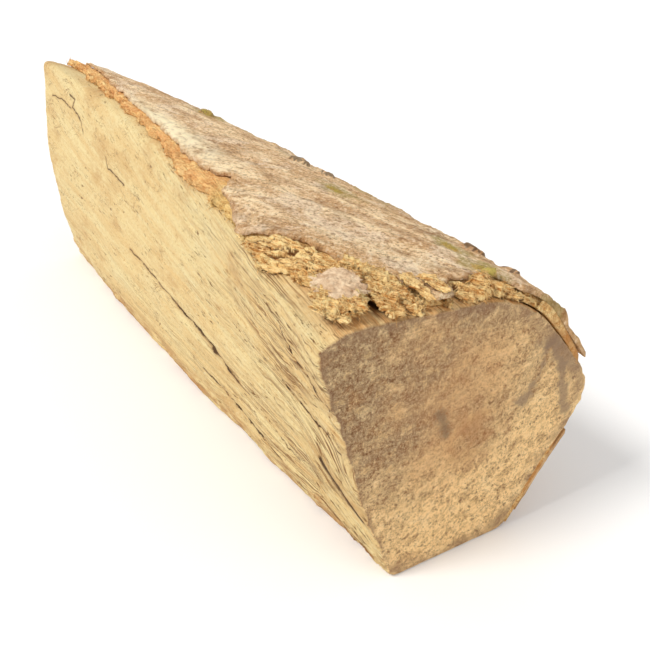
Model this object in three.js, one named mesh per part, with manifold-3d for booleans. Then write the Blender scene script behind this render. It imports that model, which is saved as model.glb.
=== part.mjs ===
// A split log for the fire: one billet of wood with two riven faces and two sawn ends,
// and the bark that still clings to its round side. Millimetres, +Z up, +Y along the log,
// front sawn end at -Y, standing on its lower riven face.
import * as THREE from "three";
import { mergeVertices } from "three/addons/utils/BufferGeometryUtils.js";
import Module from "manifold-3d";

const wasm = await Module();
wasm.setup();

// ---- driving dimensions ----
const LOG_LENGTH = 496; // along the lower edge of the left riven face
const FRONT_LEAN = { x: -0.016, z: -0.054 }; // the front saw cut isn't quite square
const GAP = 0.3; // air left between pieces that touch
const BAST_THICK = 4.8; // fibrous inner bark
const SKIN_THICK = 2.2; // pale outer bark
const BAST_BEVEL = 5; // how far the broken edge of the inner bark slopes back
const ROWS = 18; // steps along the log
const ROW_CROWDING = 1.5; // above 1 the rows stand closer together towards the front end
const RIVEN_STEPS = 7; // steps up the left riven face
const ROUND_STEPS = 20; // steps round the bark side
const BASE_STEPS = 3; // steps across the face it rests on
const CORNER = { lower: 5, upper: 2.5, right: 4 }; // worn corners, cut back by this much

// Outline of the wood at three stations, as [x, z] seen from the front end, clockwise:
// riven = left face from the ground up, round = bark side, base = the face it rests on.
const STATIONS = [
  {
    y: 0,
    riven: [[0, 0], [-16, 42], [-31, 88], [-45, 137]],
    round: [[-45, 137], [-27, 143], [8, 140], [48, 137], [80, 117], [101, 76], [88, 33], [70, 0]],
    base: [[70, 0], [36, 0], [0, 0]],
  },
  {
    y: 250,
    riven: [[-8, 0], [-13, 48], [-12, 104], [-8, 155]],
    round: [[-8, 155], [9, 157], [36, 153], [66, 143], [89, 120], [104, 79], [96, 36], [74, 0]],
    base: [[74, 0], [34, 0], [-8, 0]],
  },
  {
    y: LOG_LENGTH,
    riven: [[0, 0], [-9, 48], [-14, 112], [-6, 170]],
    round: [[-6, 170], [9, 172], [29, 164], [57, 151], [82, 126], [96, 86], [91, 38], [74, 0]],
    base: [[74, 0], [38, 0], [0, 0]],
  },
];

// Broken edges of the bark, as [distance from the front end, x on the bark side].
const BAST_EDGE = [
  [-15, 24], [0, 21], [7, 13], [13, 3], [19, -4], [27, -9], [35, -20], [40, -28], [55, -27],
  [63, -32], [76, -32], [92, -29], [106, -24], [150, -14], [200, -9], [250, -4], [300, 1],
  [360, 5], [430, 8], [LOG_LENGTH, 13],
];
const SKIN_EDGE = [
  [-15, 16], [0, 12], [8, 7], [16, 3], [25, 0], [37, -4], [49, -7], [62, -8], [71, -10], [82, -16],
  [90, -21], [98, -25], [115, -18], [134, -13], [150, -8], [156, 3], [164, -1], [176, -5],
  [215, -2], [250, 2], [280, 5], [340, 10], [392, 15], [457, 23], [LOG_LENGTH, 24],
];
const LOWER_EDGE = 0.955; // where the bark stops on the lower right, as a share of the bark side
const BARK_COLUMNS = 12; // steps across a sheet of bark
const CUTTER = { depth: -3, height: 12, overrun: 15 }; // a sheet's reach below, above and past the wood

// A stub of branch wood swells out of the right side by the front end, and the bark has gone round it.
const KNOT = { y: 4, z: 70, swell: 16, alongLog: 26, upDown: 22 };
const KNOT_BAY = { radius: 23, alongLog: 1.45, centre: [108, 2, 70], around: 16, down: 12 };

// Loose pieces by the front end: a centre line on the bark side as [x, y, height above the wood].
const LOOSE_PIECES = [
  {
    name: "bark_curl", material: "curl", width: 18, thick: 7,
    line: [[-27, 5, 4.5], [-25, 13, 6.5], [-21, 22, 7.5], [-18, 30, 7], [-16, 37, 5.5]],
  },
  {
    name: "torn_strand_front", material: "bast", width: 8, thick: 3.4,
    line: [[-8.5, 1.5, 2.4], [-8, 8, 5.5], [-6.5, 15, 7.6], [-5, 23, 8]],
  },
  {
    name: "torn_strand_back", material: "bast", width: 6.5, thick: 3,
    line: [[1, 1.5, 2.4], [1.5, 9, 6], [1, 17, 8.6], [-1, 26, 9.6]],
  },
  {
    name: "bark_flake_left", material: "flake", width: 5, thick: 1.6,
    line: [[8, 1.5, 6.5], [8, 7, 8.6], [7, 13, 10.2]],
  },
  {
    name: "bark_flake_right", material: "flake", width: 5, thick: 1.5,
    line: [[15, 1, 9.2], [15, 6, 10.2], [14, 11, 10.6]],
  },
];
const RIBBON = { steps: 7, sides: 10, endShare: 0.55 }; // its ends are this share of its full section

// Moss tufts on the bark: [x on the bark side, distance from the front, half width, half length, height]
const MOSS_TUFTS = [
  [47, 18, 5, 9, 2.6],
  [51, 44, 3.5, 10, 2.0],
  [45, 128, 4.5, 11, 2.6],
  [53, 312, 5.5, 13, 2.8],
  [84, 205, 6, 15, 2.8],
];
const TUFT_MESH = { around: 12, down: 10 };

// How far each face of the bark stands off the wood.
const bastInside = GAP;
const bastOutside = bastInside + BAST_THICK;
const skinInside = bastOutside + GAP;
const skinOutside = skinInside + SKIN_THICK;

// ---- materials ----
const finishes = {
  wood: new THREE.MeshStandardMaterial({ color: 0xe3c48d, roughness: 0.75, metalness: 0 }),
  bast: new THREE.MeshStandardMaterial({ color: 0xcd9a5c, roughness: 0.9, metalness: 0 }),
  skin: new THREE.MeshStandardMaterial({ color: 0xcdb79a, roughness: 0.85, metalness: 0 }),
  curl: new THREE.MeshStandardMaterial({ color: 0xbd9468, roughness: 0.9, metalness: 0 }),
  flake: new THREE.MeshStandardMaterial({ color: 0xdcb886, roughness: 0.85, metalness: 0 }),
  moss: new THREE.MeshStandardMaterial({ color: 0x9a9442, roughness: 1, metalness: 0 }),
};

// ---- the log's surface ----

// One side of the outline at a distance along the log: each point follows a parabola through the stations.
function sideCurve(side, y) {
  const [a, b, c] = STATIONS.map((station) => station.y);
  const weights = [
    ((y - b) * (y - c)) / ((a - b) * (a - c)),
    ((y - a) * (y - c)) / ((b - a) * (b - c)),
    ((y - a) * (y - b)) / ((c - a) * (c - b)),
  ];
  const points = STATIONS[0][side].map((_, k) => {
    const point = new THREE.Vector2();
    STATIONS.forEach((station, s) => {
      point.addScaledVector(new THREE.Vector2(...station[side][k]), weights[s]);
    });
    return point;
  });
  return new THREE.SplineCurve(points);
}

// A point of the outline, lifted off the surface, with the front cut's lean sheared in.
function surfacePoint(curve, u, y, lift = 0) {
  const at = curve.getPoint(u);
  const tangent = curve.getTangent(u);
  at.add(new THREE.Vector2(-tangent.y, tangent.x).multiplyScalar(lift));
  const frontShare = 1 - y / LOG_LENGTH;
  const lean = frontShare * (FRONT_LEAN.x * at.x + FRONT_LEAN.z * at.y);
  return new THREE.Vector3(at.x, y + lean, at.y);
}

// Where on the bark side, from 0 at the upper left corner to 1 at the lower right, x is reached.
// The search ends short of the widest point, past which x falls again.
function shareAcross(curve, x) {
  let low = 0;
  let high = 0.6;
  for (let halving = 0; halving < 24; halving += 1) {
    const middle = (low + high) / 2;
    if (curve.getPoint(middle).x < x) low = middle;
    else high = middle;
  }
  return low;
}

// The value at y, on straight lines through [y, value] pairs.
function valueAt(pairs, y) {
  const next = Math.max(1, pairs.findIndex(([at]) => at >= y));
  const [y0, v0] = pairs[next - 1];
  const [y1, v1] = pairs[next];
  return THREE.MathUtils.mapLinear(y, y0, y1, v0, v1);
}

// ---- closed meshes ----

function geometryOf(points, triangles) {
  const geometry = new THREE.BufferGeometry().setFromPoints(points);
  geometry.setIndex(triangles);
  return geometry;
}

// Rings of points joined one after another along the log, closed by a fan at each end.
function loft(rings) {
  const count = rings[0].length;
  const points = rings.flat();
  const triangles = [];
  for (let row = 0; row < rings.length - 1; row += 1) {
    for (let i = 0; i < count; i += 1) {
      const a = row * count + i;
      const b = row * count + ((i + 1) % count);
      triangles.push(a, b, b + count, a, b + count, a + count);
    }
  }
  for (const end of [0, rings.length - 1]) {
    const middle = rings[end].reduce((sum, p) => sum.add(p), new THREE.Vector3()).divideScalar(count);
    points.push(middle);
    for (let i = 0; i < count; i += 1) {
      const a = end * count + i;
      const b = end * count + ((i + 1) % count);
      triangles.push(points.length - 1, ...(end === 0 ? [b, a] : [a, b]));
    }
  }
  return geometryOf(points, triangles);
}

// A slab between two grids of points of the same size, the outer one facing away from the log.
function slab(inner, outer) {
  const rows = inner.length;
  const columns = inner[0].length;
  const points = [...inner.flat(), ...outer.flat()];
  const below = (j, i) => j * columns + i;
  const above = (j, i) => rows * columns + j * columns + i;
  const triangles = [];
  const quad = (a, b, c, d) => triangles.push(a, b, c, a, c, d);
  for (let j = 0; j < rows - 1; j += 1) {
    for (let i = 0; i < columns - 1; i += 1) {
      quad(above(j, i), above(j, i + 1), above(j + 1, i + 1), above(j + 1, i));
      quad(below(j, i), below(j + 1, i), below(j + 1, i + 1), below(j, i + 1));
    }
    quad(below(j, 0), above(j, 0), above(j + 1, 0), below(j + 1, 0));
    const last = columns - 1;
    quad(above(j, last), below(j, last), below(j + 1, last), above(j + 1, last));
  }
  for (let i = 0; i < columns - 1; i += 1) {
    quad(below(0, i), below(0, i + 1), above(0, i + 1), above(0, i));
    quad(above(rows - 1, i), above(rows - 1, i + 1), below(rows - 1, i + 1), below(rows - 1, i));
  }
  return geometryOf(points, triangles);
}

function solidOf(geometry) {
  const plain = new THREE.BufferGeometry().setAttribute("position", geometry.getAttribute("position"));
  plain.setIndex(geometry.index);
  const merged = mergeVertices(plain, 1e-4);
  return new wasm.Manifold(
    new wasm.Mesh({
      numProp: 3,
      vertProperties: new Float32Array(merged.attributes.position.array),
      triVerts: new Uint32Array(merged.index.array),
    }),
  );
}

// The largest body of a solid as a named mesh: crumbs left by a cut are dropped.
function meshOf(name, solid, finish) {
  const body = solid.decompose().reduce((a, b) => (a.volume() > b.volume() ? a : b));
  const { numProp, numVert, vertProperties, triVerts } = body.getMesh();
  const positions = new Float32Array(numVert * 3);
  for (let i = 0; i < numVert; i += 1) {
    positions.set(vertProperties.subarray(i * numProp, i * numProp + 3), i * 3);
  }
  const geometry = new THREE.BufferGeometry();
  geometry.setAttribute("position", new THREE.BufferAttribute(positions, 3));
  geometry.setIndex(new THREE.BufferAttribute(triVerts, 1));
  geometry.computeVertexNormals();
  const mesh = new THREE.Mesh(geometry, finish);
  mesh.name = name;
  return mesh;
}

// ---- wood ----

// Steps along one side, leaving its two worn corners off.
function stepsAlong(curve, steps, startCut, endCut) {
  const length = curve.getLength();
  return Array.from({ length: steps + 1 }, (_, i) =>
    THREE.MathUtils.lerp(startCut / length, 1 - endCut / length, i / steps),
  );
}

// The ring of the wood at y, with the knot. lift raises the bark side only.
function woodRing(y, lift) {
  const riven = sideCurve("riven", y);
  const round = sideCurve("round", y);
  const base = sideCurve("base", y);
  const ring = [];
  for (const u of stepsAlong(riven, RIVEN_STEPS, CORNER.lower, CORNER.upper)) {
    ring.push(surfacePoint(riven, u, y));
  }
  for (const u of stepsAlong(round, ROUND_STEPS, CORNER.upper, CORNER.right)) {
    const point = surfacePoint(round, u, y, lift);
    const fall = ((point.z - KNOT.z) / KNOT.upDown) ** 2 + ((y - KNOT.y) / KNOT.alongLog) ** 2;
    if (point.x > 0) point.x += KNOT.swell * Math.exp(-fall);
    ring.push(point);
  }
  for (const u of stepsAlong(base, BASE_STEPS, CORNER.right, CORNER.lower)) {
    ring.push(surfacePoint(base, u, y));
  }
  return ring;
}

// The wood, or with a lift the space that it and the bark up to that height take.
function billet(lift) {
  const rows = Array.from({ length: ROWS + 1 }, (_, j) => (j / ROWS) ** ROW_CROWDING * LOG_LENGTH);
  return solidOf(loft(rows.map((y) => woodRing(y, lift))));
}

// ---- bark ----

// A thick sheet over the part of the bark side that a layer covers: its left edge slopes back by bevel.
function coverage(edge, bevel) {
  const rows = [...edge.map(([y]) => y), LOG_LENGTH + CUTTER.overrun];
  const grid = (lift) =>
    rows.map((y) => {
      const inside = THREE.MathUtils.clamp(y, 0, LOG_LENGTH);
      const curve = sideCurve("round", inside);
      const slope = (lift * bevel) / BAST_THICK;
      const start = shareAcross(curve, valueAt(edge, Math.min(y, LOG_LENGTH)) + slope);
      return Array.from({ length: BARK_COLUMNS + 1 }, (_, i) => {
        const u = THREE.MathUtils.lerp(start, LOWER_EDGE, i / BARK_COLUMNS);
        const point = surfacePoint(curve, u, inside, lift);
        point.y += y - inside;
        return point;
      });
    });
  return solidOf(slab(grid(CUTTER.depth), grid(CUTTER.height)));
}

// The bay that the bark leaves round the knot: an egg shape, longest along the log.
function knotBay() {
  const egg = new THREE.SphereGeometry(KNOT_BAY.radius, KNOT_BAY.around, KNOT_BAY.down);
  egg.scale(1, KNOT_BAY.alongLog, 1);
  egg.translate(...KNOT_BAY.centre);
  return solidOf(egg);
}

// ---- loose pieces ----

// A place on the bark side: x across, y along, and the height above the wood.
function onBarkSide(x, y, height) {
  const curve = sideCurve("round", y);
  return surfacePoint(curve, shareAcross(curve, x), y, height);
}

// A ribbon lying along a line of [x, y, height above the wood], oval in section and narrower at its ends.
// grow makes the clearance that its neighbours leave round it.
function ribbon({ line, width, thick }, grow) {
  const path = new THREE.CatmullRomCurve3(line.map((place) => new THREE.Vector3(...place)));
  const rings = Array.from({ length: RIBBON.steps + 1 }, (_, step) => {
    const share = step / RIBBON.steps;
    const centre = path.getPoint(share);
    const fullness = THREE.MathUtils.lerp(RIBBON.endShare, 1, Math.sin(Math.PI * share));
    const halfWidth = (width / 2) * fullness + grow;
    const halfThick = (thick / 2) * fullness + grow;
    const y = Math.max(0, centre.y + THREE.MathUtils.lerp(-grow, grow, share));
    return Array.from({ length: RIBBON.sides }, (_side, i) => {
      const turn = (i / RIBBON.sides) * Math.PI * 2;
      return onBarkSide(centre.x - Math.cos(turn) * halfWidth, y, centre.z + Math.sin(turn) * halfThick);
    });
  });
  return solidOf(loft(rings));
}

// A tuft of moss: the cap of a flat egg that stands clear of the bark.
function mossTuft([x, y, halfWidth, halfLength, height], ground) {
  const curve = sideCurve("round", y);
  const foot = onBarkSide(x, y, skinOutside + GAP);
  const tangent = curve.getTangent(shareAcross(curve, x));
  const cap = new THREE.SphereGeometry(1, TUFT_MESH.around, TUFT_MESH.down);
  cap.scale(halfWidth, halfLength, height);
  cap.rotateY(-Math.atan2(tangent.y, tangent.x));
  cap.translate(foot.x, foot.y, foot.z);
  return solidOf(cap).subtract(ground);
}

// ---- assembly ----

const woodClear = billet(bastInside);
const looseClear = LOOSE_PIECES.map((piece) => ribbon(piece, GAP));
const cutBy = (solid, cutters) => cutters.reduce((left, cutter) => left.subtract(cutter), solid);

const bast = coverage(BAST_EDGE, BAST_BEVEL).intersect(billet(bastOutside));
const skin = coverage(SKIN_EDGE, 0).intersect(billet(skinOutside));

const log = new THREE.Group();
log.add(meshOf("split_wood", billet(0), finishes.wood));
log.add(meshOf("inner_bark", cutBy(bast, [woodClear, knotBay(), ...looseClear]), finishes.bast));
log.add(meshOf("outer_bark", cutBy(skin, [billet(skinInside), knotBay(), ...looseClear]), finishes.skin));

LOOSE_PIECES.forEach((piece, i) => {
  const solid = cutBy(ribbon(piece, 0), [woodClear, ...looseClear.slice(0, i)]);
  log.add(meshOf(piece.name, solid, finishes[piece.material]));
});

const mossGround = billet(skinOutside + GAP);
MOSS_TUFTS.forEach((tuft, i) => {
  log.add(meshOf(`moss_tuft_${i + 1}`, mossTuft(tuft, mossGround), finishes.moss));
});

// The frame's origin is under the middle of the log, on the surface that it rests on.
const box = new THREE.Box3().setFromObject(log);
const middle = box.getCenter(new THREE.Vector3());
log.position.set(-middle.x, -middle.y, -box.min.z);

const part = new THREE.Group();
part.add(log);
export default part;
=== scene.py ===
import itertools
import math

import bmesh
import bpy
import numpy as np
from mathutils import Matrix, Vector
from mathutils.bvhtree import BVHTree
from mathutils.kdtree import KDTree


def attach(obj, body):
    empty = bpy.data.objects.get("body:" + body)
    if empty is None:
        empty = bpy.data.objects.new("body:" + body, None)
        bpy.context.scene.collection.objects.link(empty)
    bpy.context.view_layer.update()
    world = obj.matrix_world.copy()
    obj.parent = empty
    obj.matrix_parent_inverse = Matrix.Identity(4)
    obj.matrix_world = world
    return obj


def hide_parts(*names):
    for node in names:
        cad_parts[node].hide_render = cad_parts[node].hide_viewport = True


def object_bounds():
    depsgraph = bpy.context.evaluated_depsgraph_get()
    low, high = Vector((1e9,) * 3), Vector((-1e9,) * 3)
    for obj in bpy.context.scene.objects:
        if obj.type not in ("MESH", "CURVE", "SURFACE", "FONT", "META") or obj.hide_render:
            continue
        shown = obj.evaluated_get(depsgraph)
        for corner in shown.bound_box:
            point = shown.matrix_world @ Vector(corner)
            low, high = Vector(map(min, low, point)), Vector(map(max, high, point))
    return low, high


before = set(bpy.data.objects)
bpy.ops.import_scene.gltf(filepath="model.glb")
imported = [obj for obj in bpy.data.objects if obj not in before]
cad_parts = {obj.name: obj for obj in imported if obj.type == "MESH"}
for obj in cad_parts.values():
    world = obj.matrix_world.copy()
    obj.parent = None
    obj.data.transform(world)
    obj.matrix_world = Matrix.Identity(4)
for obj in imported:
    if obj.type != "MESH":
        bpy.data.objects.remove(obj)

# A split log lying on its flat side. Shapes are worked out in millimetres and made in metres.
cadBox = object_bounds()
cadLow = np.array(cadBox[0]) * 1000


# small helpers for numbers

def noiseAt(points, seed):  # smooth noise, about -1 to 1, the same on every run
    cell = np.floor(points)
    inside = points - cell
    cell = cell.astype(np.int64)
    ease = inside ** 3 * (inside * (inside * 6 - 15) + 10)
    total = 0
    for corner in itertools.product((0, 1), repeat=3):
        offset = np.array(corner)
        mixed = (cell + offset) @ np.array([374761393, 668265263, 1440662683]) + seed * 1013904223
        mixed = ((mixed ^ (mixed >> 15)) & 0xFFFFFFF) * 1274126177
        mixed = mixed ^ (mixed >> 17)
        turn = (mixed & 1023) / 1024 * 2 * math.pi
        rise = ((mixed >> 10) & 1023) / 511.5 - 1
        flat = np.sqrt(1 - rise ** 2)
        away = inside - offset
        slope = (away[..., 0] * np.cos(turn) + away[..., 1] * np.sin(turn)) * flat + away[..., 2] * rise
        total = total + slope * np.where(offset, ease, 1 - ease).prod(-1)
    return total * 1.6


def layered(points, size, octaves, seed):  # noise with finer and finer layers, size in mm on each axis
    scaled = points / np.array(size, float)
    return sum(noiseAt(scaled * 2 ** k + 13.7 * k, seed + k) / 2 ** k for k in range(octaves))


def warped(points, size, amount, seed):  # pushes places about by some mm, so that no row stays straight
    push = np.stack([layered(points + 31.3 * k, size, 2, seed + k) for k in range(3)], -1)
    return points + amount * push


# heights of torn layers: level treads with sharp broken edges
def flaky(points, size, steps, seed, crisp=0.28):
    field = layered(points, size, 3, seed) * steps
    return (np.floor(field) + softStep(1 - crisp, 1, field % 1)) / steps


def softStep(low, high, value):
    share = np.clip((value - low) / (high - low), 0, 1)
    return share * share * (3 - 2 * share)


def hump(value, middle, width):
    return np.exp(-((value - middle) / width) ** 2)


def blurred(grid, passes):  # three-point averages on both axes, the borders mirrored
    for _ in range(passes):
        for axis in (0, 1):
            padded = np.concatenate([grid.take([0], axis), grid, grid.take([-1], axis)], axis)
            count = grid.shape[axis]
            before, here, after = (padded.take(range(k, k + count), axis) for k in range(3))
            grid = (before + 2 * here + after) / 4
    return grid


def distanceToPath(points, path):  # from 2D points to a line through the path's points
    nearest = np.full(points.shape[:-1], np.inf)
    for start, end in zip(np.array(path[:-1], float), np.array(path[1:], float)):
        run = end - start
        share = np.clip(((points - start) @ run) / (run @ run), 0, 1)
        nearest = np.minimum(nearest, np.linalg.norm(points - start - share[..., None] * run, axis=-1))
    return nearest


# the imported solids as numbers

def facetsOf(node):
    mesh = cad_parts[node].data
    mesh.calc_loop_triangles()
    places = np.empty(len(mesh.vertices) * 3)
    mesh.vertices.foreach_get("co", places)
    index = np.empty(len(mesh.loop_triangles) * 3, int)
    mesh.loop_triangles.foreach_get("vertices", index)
    return places.reshape(-1, 3)[index.reshape(-1, 3)] * 1000


def treeOf(node):  # for casting rays at a node
    facets = facetsOf(node)
    count = len(facets)
    corners = [Vector(corner) for corner in facets.reshape(-1, 3)]
    return BVHTree.FromPolygons(corners, [(3 * k, 3 * k + 1, 3 * k + 2) for k in range(count)])


woodFacets = facetsOf("split_wood")
facing = np.cross(woodFacets[:, 1] - woodFacets[:, 0], woodFacets[:, 2] - woodFacets[:, 0])
facing = facing / (np.linalg.norm(facing, axis=1, keepdims=True) + 1e-9)
frontCorners = woodFacets[facing[:, 1] < -0.97].reshape(-1, 3)
frontFit = np.linalg.lstsq(
    np.column_stack([np.ones(len(frontCorners)), frontCorners[:, 0], frontCorners[:, 2]]),
    frontCorners[:, 1], rcond=None)[0]
backY = woodFacets[..., 1].max()


def frontAt(x, z):  # the front saw cut leans a little
    return frontFit[0] + frontFit[1] * x + frontFit[2] * z


def alongY(x, share, z):  # share 0 is the front cut and 1 the back cut
    front = frontAt(x, z)
    return front + share * (backY - front)


leaning = frontAt(woodFacets[..., 0], woodFacets[..., 2])
woodFacets[..., 1] = (woodFacets[..., 1] - leaning) / (backY - leaning)


# the wood's outline at one place along the log, dense and clockwise from the middle of its base
def sectionAt(share):
    share = min(max(share, 0.003), 0.997)
    found = []
    for a, b in ((0, 1), (1, 2), (2, 0)):
        start, end = woodFacets[:, a], woodFacets[:, b]
        crosses = (start[:, 1] - share) * (end[:, 1] - share) < 0
        part = ((share - start[crosses, 1]) / (end[crosses, 1] - start[crosses, 1]))[:, None]
        found.append((start[crosses] + (end[crosses] - start[crosses]) * part)[:, [0, 2]])
    found = np.concatenate(found)
    centre = (found.min(0) + found.max(0)) / 2
    turn = (-math.pi / 2 - np.arctan2(found[:, 1] - centre[1], found[:, 0] - centre[0])) % (2 * math.pi)
    found = found[np.argsort(turn)]
    loop = np.concatenate([found, found[:1]])
    run = np.concatenate([[0], np.cumsum(np.linalg.norm(np.diff(loop, axis=0), axis=1))])
    steps = np.linspace(0, run[-1], 721)
    return steps, np.column_stack([np.interp(steps, run, loop[:, k]) for k in (0, 1)])


cornerWays = {"lowerLeft": (-0.7, -0.7), "upperLeft": (-0.9, 0.45), "lowerRight": (0.65, -0.75)}


def cornerOn(steps, outline, way):  # how far round the outline a worn corner is
    reach = outline @ np.array(way)
    weight = np.exp((reach - reach.max()) / 1.2)
    return (steps * weight).sum() / weight.sum()


def sideGrid(side, columns, shares):  # x and z of one side of the wood, a row for each share along the log
    rows = []
    columns = np.broadcast_to(columns, (len(shares), np.shape(columns)[-1]))
    sections = [sectionAt(share) for share in shares]
    corners = np.array([[cornerOn(*section, way) for way in cornerWays.values()] for section in sections])
    for (steps, outline), (lowerLeft, upperLeft, lowerRight), wanted in zip(sections, corners, columns):
        start, end = {
            "riven": (lowerLeft, upperLeft),
            "round": (upperLeft, lowerRight),
            "base": (lowerRight, steps[-1] + lowerLeft),
        }[side]
        wanted = start + (end - start) * wanted
        rows.append(np.column_stack([np.interp(wanted % steps[-1], steps, outline[:, k]) for k in (0, 1)]))
    return np.array(rows)


def smoothRows(grid, passes):  # evens out the facets along and across one side, its borders held
    for _ in range(passes):
        grid[1:-1] = (grid[:-2] + 2 * grid[1:-1] + grid[2:]) / 4
        grid[:, 1:-1] = (grid[:, :-2] + 2 * grid[:, 1:-1] + grid[:, 2:]) / 4
    return grid


def placed(flat, shares):  # x and z with their place along the log, as points
    x, z = flat[..., 0], flat[..., 1]
    return np.stack([x, alongY(x, np.array(shares)[:, None], z), z], -1)


def outward(points):  # the surface's normals, for a grid of rows along the log and columns clockwise
    across = np.gradient(points, axis=1)
    along = np.gradient(points, axis=0)
    normal = np.cross(across, along)
    return normal / (np.linalg.norm(normal, axis=-1, keepdims=True) + 1e-9)


def crowded(count, power):  # shares from 0 to 1 that stand closer together near 0
    return np.linspace(0, 1, count) ** power


# meshes

def markPoints(mesh, marks):  # keeps numbers on the points, which the finishes read
    for mark, values in marks.items():
        kept = mesh.attributes.new(mark, "FLOAT", "POINT")
        kept.data.foreach_set("value", np.asarray(values, np.float32).ravel())


def meshPiece(name, points, faces, marks=None, smooth=True):  # points in mm
    mesh = bpy.data.meshes.new(name)
    mesh.from_pydata((np.asarray(points) / 1000).tolist(), [], faces)
    mesh.validate()
    mesh.polygons.foreach_set("use_smooth", [smooth] * len(mesh.polygons))
    markPoints(mesh, marks or {})
    piece = bpy.data.objects.new(name, mesh)
    bpy.context.scene.collection.objects.link(piece)
    return piece


def finished(piece, material, slot, *nodes):
    piece.data.materials.clear()
    piece.data.materials.append(material)
    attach(piece, "root")
    if nodes:
        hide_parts(*nodes)
    return piece


def gridFaces(rows, columns, start=0, around=False):
    wide = columns if around else columns - 1
    j, i = np.meshgrid(np.arange(rows - 1), np.arange(wide), indexing="ij")
    a = start + j * columns + i
    b = start + j * columns + (i + 1) % columns
    return np.stack([a, b, b + columns, a + columns], -1).reshape(-1, 4)


# shader arithmetic

class Wire:  # a socket that can be reckoned with
    def __init__(self, tree, socket):
        self.tree, self.socket = tree, socket

    def node(self, kind, sockets, out=0, **settings):  # any other node, its settings first
        made = self.tree.nodes.new(kind)
        for key, value in settings.items():
            setattr(made, key, value)
        for key, value in sockets.items():
            if isinstance(value, Wire):
                self.tree.links.new(value.socket, made.inputs[key])
            else:
                made.inputs[key].default_value = value
        return Wire(self.tree, made.outputs[out])

    def math(self, operation, other=0.0):
        return self.node("ShaderNodeMath", {0: self, 1: other}, operation=operation)

    def __add__(self, other):
        return self.math("ADD", other)

    __radd__ = __add__

    def __mul__(self, other):
        return self.math("MULTIPLY", other)

    __rmul__ = __mul__

    def __sub__(self, other):
        return self.math("SUBTRACT", other)

    def __rsub__(self, other):
        return self.node("ShaderNodeMath", {0: other, 1: self}, operation="SUBTRACT")

    def __truediv__(self, other):
        return self.math("DIVIDE", other)

    def step(self, low, high):  # eases from 0 at low to 1 at high
        return self.node("ShaderNodeMapRange", {0: self, 1: low, 2: high}, interpolation_type="SMOOTHSTEP")

    def near(self, middle, width):  # 1 at the middle, easing to 0 a width away
        return (self - middle).math("ABSOLUTE").step(width, 0.0)

    def mixed(self, first, second):  # a colour from first to second by this factor
        return self.node("ShaderNodeMix", {0: self, 6: first, 7: second}, out=2, data_type="RGBA")

    def dimmed(self, share):  # a colour made darker or lighter
        return self.node("ShaderNodeVectorMath", {0: self, "Scale": share}, operation="SCALE")

    def noise(self, vector, scale=1.0, detail=3.0, rough=0.55, bend=0.0):
        return self.node("ShaderNodeTexNoise", {
            "Vector": vector, "Scale": scale, "Detail": detail, "Roughness": rough, "Distortion": bend})

    def vector(self, x, y, z):
        return self.node("ShaderNodeCombineXYZ", {0: x, 1: y, 2: z})


def awayFrom(first, second, path):  # distance in mm to a line through the path's points, on two wires
    nearest = None
    for (startA, startB), (endA, endB) in zip(path[:-1], path[1:]):
        runA, runB = endA - startA, endB - startB
        fromA, fromB = first - startA, second - startB
        share = (fromA * runA + fromB * runB) / (runA * runA + runB * runB)
        share = share.math("MAXIMUM", 0.0).math("MINIMUM", 1.0)
        leftA, leftB = fromA - share * runA, fromB - share * runB
        away = (leftA * leftA + leftB * leftB).math("SQRT")
        nearest = away if nearest is None else nearest.math("MINIMUM", away)
    return nearest


def paint(red, green, blue):  # a display colour from 0 to 255 as a linear one
    def linear(value):
        value = value / 255
        return value / 12.92 if value <= 0.04045 else ((value + 0.055) / 1.055) ** 2.4
    return (linear(red), linear(green), linear(blue), 1.0)


def coated(colour, *coats):  # other colours laid over one in turn, each by its share
    for share, tint in coats:
        colour = share.mixed(colour, paint(*tint))
    return colour


def newFinish(name):  # a material with its place on the piece as wires x, y and z, in mm
    material = bpy.data.materials.new(name)
    material.use_nodes = True
    tree = material.node_tree
    shader = tree.nodes["Principled BSDF"]
    place = tree.nodes.new("ShaderNodeTexCoord")
    split = tree.nodes.new("ShaderNodeSeparateXYZ")
    tree.links.new(place.outputs["Object"], split.inputs[0])
    x, y, z = (Wire(tree, split.outputs[k]) * 1000 for k in range(3))
    return material, shader, x, y, z


def finish(shader, colour, rough, height, depth, specular=0.25, brightness=1.0):
    tree = colour.tree
    tree.links.new(colour.dimmed(brightness).socket, shader.inputs["Base Color"])
    tree.links.new(rough.socket, shader.inputs["Roughness"])
    shader.inputs["Specular IOR Level"].default_value = specular
    bump = tree.nodes.new("ShaderNodeBump")
    bump.inputs["Strength"].default_value = 1.0
    bump.inputs["Distance"].default_value = depth / 1000
    tree.links.new(height.socket, bump.inputs["Height"])
    tree.links.new(bump.outputs[0], shader.inputs["Normal"])


def markOn(wire, name):
    return wire.node("ShaderNodeAttribute", {}, out=2, attribute_name=name)


# camera, light and floor

def aimedFrom(thing, away):  # puts a camera or a light in the scene, looking back along a direction
    thing.rotation_mode = "QUATERNION"
    thing.rotation_quaternion = (-away).to_track_quat("-Z", "Y")
    bpy.context.scene.collection.objects.link(thing)


view = {
    "turn": -32.0908, "rise": 26.5189, "distance": 0.630, "lens": 44.374,
    "aim": (0.0840, 0.0063, -0.0030),
}
turn, rise = math.radians(view["turn"]), math.radians(view["rise"])
back = Vector((math.sin(turn) * math.cos(rise), -math.cos(turn) * math.cos(rise), math.sin(rise)))
camera = bpy.data.objects.new("camera", bpy.data.cameras.new("camera"))
camera.data.lens = view["lens"]
camera.data.sensor_width = 36
camera.data.clip_start, camera.data.clip_end = 0.02, 60
camera.location = Vector(view["aim"]) + back * view["distance"]
aimedFrom(camera, back)
bpy.context.scene.camera = camera
bpy.context.scene.view_settings.view_transform = "Standard"


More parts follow.
